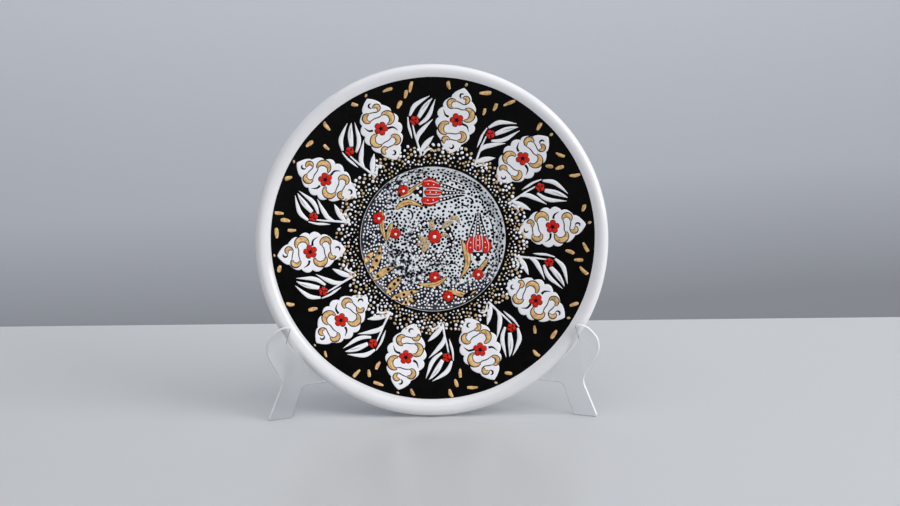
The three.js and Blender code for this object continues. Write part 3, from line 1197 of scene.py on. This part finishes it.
# Brush strokes of a tulip spray: path as (right, radius from the plate's centre), and widths.
TULIP_STROKES = [
    ([(-3.6, 64.3), (-0.9, 68.8), (3.1, 71.3), (7.7, 73.3)], [1.2, 2.5, 1.7, 0.2]),
    ([(1.1, 63.2), (4.3, 67.5), (7.2, 70.6), (9.3, 72.3)], [2.0, 2.9, 1.7, 0.2]),
    ([(0.9, 59.5), (4.5, 61.6), (7.0, 64.3), (8.8, 67.8), (10.7, 71.5)], [1.2, 2.1, 2.3, 1.4, 0.15]),
    ([(-2.6, 60.8), (-2.1, 55.3), (-1.4, 50.8), (-0.4, 43.6)], [0.7, 1.0, 1.1, 1.3]),
    ([(-4.4, 64.0), (-4.6, 59.6), (-4.1, 56.2), (-3.6, 52.7)], [0.6, 1.2, 1.3, 0.2]),
    ([(-1.4, 50.4), (-0.3, 54.2), (2.1, 56.8), (5.0, 59.2), (8.2, 61.6)], [0.6, 2.3, 2.5, 1.5, 0.15]),
    ([(-0.6, 45.6), (2.2, 48.6), (4.9, 50.9), (7.4, 52.8)], [1.3, 2.8, 2.3, 0.3]),
    ([(0.4, 43.6), (2.6, 46.0), (5.0, 46.6), (6.6, 44.6)], [0.6, 1.3, 1.1, 0.3]),
]
STEM_FOOT = 46.0


def paint_tulip(degrees, rng, paint):
    """White strokes that spring from the dot ring, with a red bud; the stem's foot stays in place."""
    petals, ink, red = paint
    axes = Placed(0, degrees, rng.uniform(-1.0, 1.0))
    for line, widths in TULIP_STROKES:
        shift = (rng.uniform(-0.25, 0.25), rng.uniform(-0.25, 0.25))
        drawn = [moved(p, shift) if p[1] > STEM_FOOT else p for p in line]
        petals.stroke(axes.all(drawn), widths, 0.14, 0.06, 14)
    ink.stroke(axes.all([(3.4, 66.8), (5.6, 69.0), (7.4, 70.6)]), [0.1, 0.3, 0.1], 0.03, 0.21)
    bud = axes((-1.2, 61.9))
    start = rng.uniform(0, 72)
    outlined_flower(ink, red, bud, 2.35, 5, start, 0.3, (0.06, 0.18), (0.14, 0.22, 0.1), 0.28)
    for k in range(3):
        groove = [moved(bud, polar(reach, start + 120 * k)) for reach in (0, 1.1, 2.09)]
        ink.stroke(groove, [0.7, 0.75, 0.1], 0.04, 0.42)


def make_flange_motifs(paints):
    """Medallions and tulips in turn round the flange, one mesh for each colour."""
    rng = random.Random(37)
    ground, ochre, ink, red, petals, tulip_ink, tulip_red, beads = (Enamel() for _ in range(8))
    for k in range(MOTIFS):
        angle = medallion_angle(k)
        axes = Placed(MEDALLION_RADIUS, angle + rng.uniform(-0.4, 0.4), rng.uniform(-1.5, 1.5))
        paint_medallion(axes, rng, (ground, ochre, ink, red))
        paint_tulip(angle + TULIP_OFFSET, rng, (petals, tulip_ink, tulip_red))
        beads.dot(axes((rng.uniform(-0.6, 0.6), 18.9)), 0.75, 0.25, 0.05)
    ground.build("medallion_grounds", paints["white"], "white_enamel")
    ochre.build("medallion_scrolls", paints["ochre"], "ochre_enamel")
    ink.build("medallion_outlines", paints["ink"], "black_glaze")
    red.build("medallion_flowers", paints["red"], "red_enamel")
    petals.build("tulip_petals", paints["white"], "white_enamel")
    tulip_ink.build("tulip_outlines", paints["ink"], "black_glaze")
    tulip_red.build("tulip_buds", paints["red"], "red_enamel")
    beads.build("medallion_beads", paints["cream"], "white_enamel")


# Gold dashes beside each medallion's outer end: (degrees from it, radius, length, tilt).
DASHES = [(-7.9, 79.4, 5.2, 8), (-16.6, 79.6, 5.0, 70), (-13.2, 75.8, 4.4, 95), (-10.6, 71.2, 4.2, 70),
          (5.7, 79.8, 3.8, 130)]


def make_gold_dashes(paints):
    """Loose brush dabs, with a few left out."""
    rng = random.Random(53)
    gold = Enamel()
    for k in range(MOTIFS):
        for offset, radius, length, tilt in DASHES:
            if rng.random() < 0.06:
                continue
            reach = radius + rng.uniform(-0.7, 0.7)
            axes = Placed(reach, medallion_angle(k) + offset + rng.uniform(-0.9, 0.9))
            axes.angle += math.radians(tilt + rng.uniform(-28, 28))
            half = length * rng.uniform(0.42, 0.56)
            bend = rng.uniform(-0.4, 0.4)
            fat = rng.uniform(1.7, 2.3)
            line = [(-half, 0), (-0.62 * half, bend * 0.7), (0, bend),
                    (0.62 * half, bend * 0.7), (half, 0)]
            gold.stroke(axes.all(line), [0.9, fat * 0.75, fat, fat * 0.95, 1.3], 0.2, 0.05, 12)
    gold.build("gold_dashes", paints["ochre"], "ochre_enamel")


# ================= stand =================
# Outline of one half as (out along the arm from the hinge axis, height, corner radius) in millimetres.
ARM_ANGLE = math.radians(22.5)
LEAF_OFFSET = 0.3
SHEET = 2.4
BARREL = 4.0
BORE = 1.8
LEAF_EDGE = BARREL + 0.6
STAND_HEIGHT = 88
REST_IN = 60
REST_OUT = 81.1
REST_GAP = 0.7
FOOT_AND_HOOK = [
    (LEAF_EDGE, 0, 1), (19, 0, 1.5), (23, 16.6, 6), (72.4, 16.6, 3), (78.6, 0, 1.2), (91.5, 0, 1.8),
    (82.9, 19, 3), (91.8, 35.4, 3), (91.2, 41.8, 3), (84.8, 48.4, 4), (78.2, 48.4, 2), (80.1, 43, 1.5),
]
BACKREST = [(27, 23, 12), (15.5, 48, 8), (10, STAND_HEIGHT, 3), (LEAF_EDGE, STAND_HEIGHT, 1)]
KNUCKLE_LOW = 6.0
KNUCKLE_PITCH = 26.8
KNUCKLE_HEIGHT = 26.4


def rest_height(u):
    """Height of the rest below the plate's edge, a point u out along the arm."""
    x = u * math.cos(ARM_ANGLE) + LEAF_OFFSET * math.sin(ARM_ANGLE)
    return RIM_CENTRE.z / MM - math.cos(PLATE_LEAN) * math.sqrt(LIP[2][0] ** 2 - x * x) - REST_GAP


def half_outline():
    """The sheet's outline with each corner rounded off by a short curve."""
    rest = [(u, rest_height(u), 0) for u in (lerp(REST_OUT, REST_IN, i / 14) for i in range(15))]
    corners = FOOT_AND_HOOK + rest + BACKREST
    points = []
    for i, (x, y, radius) in enumerate(corners):
        if not radius:
            points.append((x, y))
            continue
        ends = []
        for other in (corners[i - 1], corners[(i + 1) % len(corners)]):
            dx, dy = other[0] - x, other[1] - y
            share = radius / math.hypot(dx, dy)
            ends.append((x + dx * share, y + dy * share))
        steps = 10 if radius > 4 else 7
        points += [bezier((ends[0], (x, y), ends[1]), t / steps) for t in range(steps + 1)]
    return points


def sheet_solid(outline, bevel=0.3):
    """The sheet in its own axes: X out along the arm, Y to the back, Z up, with eased edges."""
    bm = bmesh.new()
    verts = [bm.verts.new((x * MM, LEAF_OFFSET * MM, y * MM)) for x, y in outline]
    face = bm.faces.new(verts)
    made = bmesh.ops.extrude_face_region(bm, geom=[face])
    moved = [v for v in made["geom"] if isinstance(v, bmesh.types.BMVert)]
    bmesh.ops.translate(bm, verts=moved, vec=(0, SHEET * MM, 0))
    bmesh.ops.recalc_face_normals(bm, faces=bm.faces)
    rims = [e for e in bm.edges if abs(e.verts[0].co.y - e.verts[1].co.y) < 1e-7]
    bmesh.ops.bevel(bm, geom=rims, offset=bevel * MM, segments=3, profile=0.5, affect="EDGES")
    return solid_mesh("sheet", bm)


def knuckle_solid(low):
    """A hinge knuckle with chamfered ends."""
    chamfer = 0.35
    profile = [(0, low), (BARREL - chamfer, low), (BARREL, low + chamfer),
               (BARREL, low + KNUCKLE_HEIGHT - chamfer), (BARREL - chamfer, low + KNUCKLE_HEIGHT),
               (0, low + KNUCKLE_HEIGHT)]
    return turned_solid(profile, 48)


def turned_solid(profile, segments):
    """A closed solid turned about Z from a profile that starts and ends on the axis, in millimetres."""
    bm = bmesh.new()
    rows = []
    for radius, height in profile:
        if radius < 1e-6:
            rows.append([bm.verts.new((0, 0, height * MM))])
        else:
            rows.append([
                bm.verts.new((x * MM, y * MM, height * MM))
                for x, y in (polar(radius, 360 * i / segments) for i in range(segments))
            ])
    for a, b in zip(rows, rows[1:]):
        for i in range(segments):
            k = (i + 1) % segments
            corners = [a[i % len(a)], a[k % len(a)], b[k % len(b)], b[i % len(b)]]
            unique = list(dict.fromkeys(corners))
            if len(unique) > 2:
                bm.faces.new(unique)
    bmesh.ops.recalc_face_normals(bm, faces=bm.faces)
    return solid_mesh("turned", bm)


def box_solid(low, high):
    """A box between two corners, in millimetres."""
    bm = bmesh.new()
    bmesh.ops.create_cube(bm, size=1.0)
    for vert in bm.verts:
        vert.co = Vector(lerp(a, b, c + 0.5) * MM for a, b, c in zip(low, high, vert.co))
    return solid_mesh("box", bm)


def make_stand_half(name, side, knuckles, node, body, material):
    """The sheet with its knuckles, bored for the pin and turned out from the hinge to its side."""
    holder = new_object(name + "_holder", sheet_solid(half_outline()))
    inset = 0.02  # keeps the web's faces off the sheet's and the knuckle's
    for number in knuckles:
        low = KNUCKLE_LOW + KNUCKLE_PITCH * number
        web = box_solid((0, LEAF_OFFSET + inset, low + inset),
                        (LEAF_EDGE + 1, LEAF_OFFSET + SHEET - inset, low + KNUCKLE_HEIGHT - inset))
        combine(holder, web, "UNION")
        combine(holder, knuckle_solid(low), "UNION")
    drill(holder, [(Vector((0, 0, 0.044)), Vector((0, 0, 1)), BORE * MM, 0.1)])
    mesh = holder.data
    bpy.data.objects.remove(holder)
    mesh.transform(Matrix.Translation((0, HINGE.y, 0)) @ Matrix.Rotation(-side * ARM_ANGLE, 4, "Z")
                   @ Matrix.Diagonal((side, 1, 1, 1)))
    outward(mesh)
    shade_by_angle(mesh, 30)
    flat = Vector((side * math.sin(ARM_ANGLE), math.cos(ARM_ANGLE), 0))
    # Marks the cut edges, which the plastic whitens as a painted highlight.
    add_floats(mesh, "cut_edge", "FACE", [float(abs(f.normal.dot(flat)) < 0.6) for f in mesh.polygons])
    show(name, mesh, material, body, [node])


def make_stand(colours):
    material = clear_plastic(colours)
    make_stand_half("clear_half_left", -1, [0, 2], "stand_left_half", "stand_fold_half", material)
    make_stand_half("clear_half_right", 1, [1], "stand_right_half", "stand", material)


def make_pin(colours):
    """A wire pin with a domed head at each end."""
    shank, head, low, high, tall = 1.6, 3.1, 5.7, 86.3, 1.7
    dome = [(head * math.cos(t), tall * math.sin(t)) for t in (math.pi / 2 * i / 8 for i in range(9))]
    under = 0.25
    bottom = [(r, low - under - h * (tall - under) / tall) for r, h in reversed(dome)]
    top = [(r, high + under + h * (tall - under) / tall) for r, h in dome]
    profile = bottom + [(head, low), (shank, low), (shank, high), (head, high)] + top
    profile[0] = (0, profile[0][1])
    profile[-1] = (0, profile[-1][1])
    mesh = turned_solid(profile, 48)
    mesh.transform(Matrix.Translation((0, HINGE.y, 0)))
    shade_by_angle(mesh, 40)
    show("steel_hinge_pin", mesh, brushed_steel(colours), "stand", ["hinge_pin"])


# ================= stage =================
def plane_between(name, corners, material):
    mesh = new_mesh(name, corners, [(0, 1, 2, 3)])
    mesh.materials.append(material)
    new_object(name, mesh)


def soft_light(name, place, aim, size, power, tint=(1, 1, 1)):
    data = bpy.data.lights.new(name, "AREA")
    data.shape = "RECTANGLE"
    data.size, data.size_y = size
    data.energy = power
    data.color = tint
    lamp = new_object(name, data)
    lamp.location = place
    lamp.rotation_euler = (Vector(aim) - Vector(place)).to_track_quat("-Z", "Y").to_euler()


def make_camera(stage):
    """Looks slightly down at the plate, which stands left of the middle and a little high."""
    data = bpy.data.cameras.new("camera")
    data.lens = stage.lens
    data.sensor_width = 36
    data.clip_start = 0.01
    camera = new_object("camera", data)
    turn = Matrix.Rotation(-stage.turn, 4, "Z") @ Matrix.Rotation(math.pi / 2 - stage.pitch, 4, "X")
    from_plate = turn @ Vector((stage.aside, -stage.above, stage.distance))
    camera.matrix_world = Matrix.Translation(RIM_CENTRE + from_plate) @ turn
    bpy.context.scene.camera = camera


def make_stage(stage):
    """A table, a wall some way behind it, an even room light and four soft lamps."""
    edge, wall, reach = stage.table_edge, stage.wall_distance, 3.0
    board = [(-reach, -reach, 0), (reach, -reach, 0), (reach, edge, 0), (-reach, edge, 0)]
    upright = [(-reach, wall, -1), (reach, wall, -1), (reach, wall, 3), (-reach, wall, 3)]
    plane_between("tabletop", board, tabletop(stage))
    plane_between("wall", upright, wall_paint(stage))
    world = bpy.data.worlds.new("soft_room")
    world.use_nodes = True
    backdrop = world.node_tree.nodes["Background"]
    backdrop.inputs["Color"].default_value = (*stage.room_colour, 1)
    backdrop.inputs["Strength"].default_value = stage.room_light
    bpy.context.scene.world = world
    bpy.context.scene.view_settings.view_transform = "Standard"
    aim, key = (0, 0, 0.06), stage.key_power
    soft_light("window_right", (1.6, -0.7, 0.85), aim, (1.3, 1.3), key, (1.0, 0.985, 0.97))
    soft_light("sky_left", (-1.5, -0.35, 1.1), aim, (1.0, 1.0), key * 0.03, (0.93, 0.96, 1.0))
    soft_light("ceiling", (0.1, -0.6, 1.85), (0, 0.05, 0.1), (2.4, 2.0), key * 0.72)
    soft_light("wall_wash", (0, 1.0, 1.1), (0, wall, -0.2), (2.6, 0.6), key * 0.43)
    make_camera(stage)


# ================= settings a user would change =================
def size_prop(name, description, default):
    return bpy.props.FloatProperty(name=name, description=description, default=default, unit="LENGTH")


def colour_prop(name, description, default):
    return bpy.props.FloatVectorProperty(
        name=name, description=description, default=default, subtype="COLOR", size=3, min=0, max=1)


class PlateSizes(bpy.types.PropertyGroup):
    """Sizes of the plate's mesh"""
    segments: bpy.props.IntProperty(
        name="Segments", description="Steps round the plate", default=288, min=48, max=480)


class PlateColours(bpy.types.PropertyGroup):
    """Glazes, enamels and stand materials"""
    glaze_white: colour_prop("White glaze", "Rim and back of the plate", (0.80, 0.80, 0.83))
    glaze_black: colour_prop("Black glaze", "Field of the flange", (0.0018, 0.0016, 0.0018))
    enamel_white: colour_prop("White enamel", "Medallions, petals and dots", (0.92, 0.92, 0.97))
    enamel_red: colour_prop("Red enamel", "Flowers and buds", (0.74, 0.018, 0.007))
    ochre: colour_prop("Ochre enamel", "Scrolls, leaves and dashes", (0.90, 0.55, 0.22))
    cream: colour_prop("Cream enamel", "Petals round the middle flower", (0.70, 0.52, 0.30))
    ink: colour_prop("Ink black", "Outlines and dark dots", (0.004, 0.004, 0.007))
    centre_white: colour_prop("Centre white", "Ground of the well", (0.80, 0.83, 0.88))
    # This navy serves both the wash painted in the well and the painted shade at its lower left.
    centre_navy: colour_prop("Centre navy", "Dark wash in the well", (0.012, 0.018, 0.045))
    plastic_tint: colour_prop("Plastic tint", "Clear sheet of the stand", (0.97, 0.985, 0.99))
    steel: colour_prop("Pin steel", "Hinge pin", (0.62, 0.63, 0.65))


class StageSettings(bpy.types.PropertyGroup):
    """Floor, wall, light and camera"""
    floor_colour: colour_prop("Table colour", "Lacquered board", (0.545, 0.558, 0.572))
    wall_colour: colour_prop("Wall colour", "Painted wall behind", (0.58, 0.603, 0.66))
    room_colour: colour_prop("Room colour", "Light from all round", (0.93, 0.96, 1.0))
    room_light: bpy.props.FloatProperty(
        name="Room light", description="Strength of the room", default=0.38)
    key_power: bpy.props.FloatProperty(
        name="Window power", description="Watts of the large light on the right", default=25.5,
        unit="POWER")
    table_edge: size_prop("Table edge", "Far edge of the table", 0.173)
    wall_distance: size_prop("Wall distance", "From the plate to the wall", 2.05)
    distance: size_prop("Camera distance", "From the plate's middle", 0.970)
    aside: size_prop("Camera aside", "To the right of the plate's middle", 0.00905)
    above: size_prop("Plate above", "How far the plate stands above the camera's axis", 0.0059)
    lens: bpy.props.FloatProperty(
        name="Lens", description="Focal length", default=75.7, unit="CAMERA", subtype="DISTANCE_CAMERA")
    pitch: bpy.props.FloatProperty(
        name="Pitch", description="How far the camera looks down", default=math.radians(13),
        subtype="ANGLE")
    turn: bpy.props.FloatProperty(
        name="Turn", description="How far to the right the camera looks", default=math.radians(2.35),
        subtype="ANGLE")


def enamels(colours):
    """The enamels that several pieces share, made once, by their short names."""
    if "white_enamel" not in bpy.data.materials:
        enamel("white_enamel", tuple(colours.enamel_white), 0.05, 0.45)
        enamel("red_enamel", tuple(colours.enamel_red), 0.35, 0.25, 700)
        enamel("cream_enamel", tuple(colours.cream), 0.3, 0.35, 600)
        enamel("ink_enamel", tuple(colours.ink), 0.3, 0.1)
        gold_enamel(colours)
    names = ("white", "red", "cream", "ink", "ochre")
    return {name: bpy.data.materials[name + "_enamel"] for name in names}


# ================= operators and panel =================
class BuildStage(bpy.types.Operator):
    """Sets the table, the wall, the soft lights and the camera"""
    bl_idname = "plate.build_stage"
    bl_label = "Stage"

    def execute(self, context):
        make_stage(context.scene.plate_stage)
        return {"FINISHED"}


class BuildBody(bpy.types.Operator):
    """Turns the glazed body from its profile and drills its hanging holes"""
    bl_idname = "plate.build_body"
    bl_label = "Glazed body"

    def execute(self, context):
        make_plate_body(context.scene.plate_sizes, context.scene.plate_colours)
        return {"FINISHED"}


class BuildGrounds(bpy.types.Operator):
    """Lays the black field on the flange and the white ground in the well"""
    bl_idname = "plate.build_grounds"
    bl_label = "Black field and centre ground"

    def execute(self, context):
        make_black_field(context.scene.plate_colours)
        make_centre_ground(context.scene.plate_colours)
        return {"FINISHED"}


class BuildFlangeMotifs(bpy.types.Operator):
    """Paints the ten medallions and the ten tulip sprays"""
    bl_idname = "plate.build_flange_motifs"
    bl_label = "Medallions and tulips"

    def execute(self, context):
        make_flange_motifs(enamels(context.scene.plate_colours))
        return {"FINISHED"}


class BuildDashes(bpy.types.Operator):
    """Paints the gold dashes near the rim"""
    bl_idname = "plate.build_dashes"
    bl_label = "Gold dashes"

    def execute(self, context):
        make_gold_dashes(enamels(context.scene.plate_colours))
        return {"FINISHED"}


class BuildDots(bpy.types.Operator):
    """Sets the raised dots of the ring and of the well"""
    bl_idname = "plate.build_dots"
    bl_label = "Raised dots"

    def execute(self, context):
        paints = enamels(context.scene.plate_colours)
        make_dot_ring(paints)
        make_centre_dots(paints)
        return {"FINISHED"}


class BuildCentre(bpy.types.Operator):
    """Paints the flowers, leaves, pods and buds of the well"""
    bl_idname = "plate.build_centre"
    bl_label = "Centre garden"

    def execute(self, context):
        make_centre_motifs(enamels(context.scene.plate_colours))
        return {"FINISHED"}


class BuildStand(bpy.types.Operator):
    """Cuts both clear halves of the stand with their hinge knuckles"""
    bl_idname = "plate.build_stand"
    bl_label = "Clear stand"

    def execute(self, context):
        make_stand(context.scene.plate_colours)
        return {"FINISHED"}


class BuildPin(bpy.types.Operator):
    """Turns the steel hinge pin"""
    bl_idname = "plate.build_pin"
    bl_label = "Hinge pin"

    def execute(self, context):
        make_pin(context.scene.plate_colours)
        return {"FINISHED"}


BUILDERS = [BuildStage, BuildBody, BuildGrounds, BuildFlangeMotifs, BuildDashes, BuildDots, BuildCentre,
            BuildStand, BuildPin]


class PlatePanel(bpy.types.Panel):
    """Lists the pieces in the 3D view's sidebar"""
    bl_idname = "VIEW3D_PT_painted_plate"
    bl_label = "Painted plate"
    bl_space_type = "VIEW_3D"
    bl_region_type = "UI"
    bl_category = "Plate"

    def draw(self, context):
        for builder in BUILDERS:
            self.layout.operator(builder.bl_idname)
        for _, place in GROUPS:
            group = getattr(context.scene, place)
            for key in group.bl_rna.properties.keys():
                if key not in ("rna_type", "name"):
                    self.layout.prop(group, key)


GROUPS = [(PlateSizes, "plate_sizes"), (PlateColours, "plate_colours"), (StageSettings, "plate_stage")]


def register():
    for group, key in GROUPS:
        bpy.utils.register_class(group)
        setattr(bpy.types.Scene, key, bpy.props.PointerProperty(type=group))
    for cls in BUILDERS + [PlatePanel]:
        bpy.utils.register_class(cls)


def unregister():
    for cls in reversed(BUILDERS + [PlatePanel]):
        bpy.utils.unregister_class(cls)
    for group, key in reversed(GROUPS):
        delattr(bpy.types.Scene, key)
        bpy.utils.unregister_class(group)


def main():
    register()
    for builder in BUILDERS:
        group, action = builder.bl_idname.split(".")
        getattr(getattr(bpy.ops, group), action)()


if __name__ == "__main__":
    main()
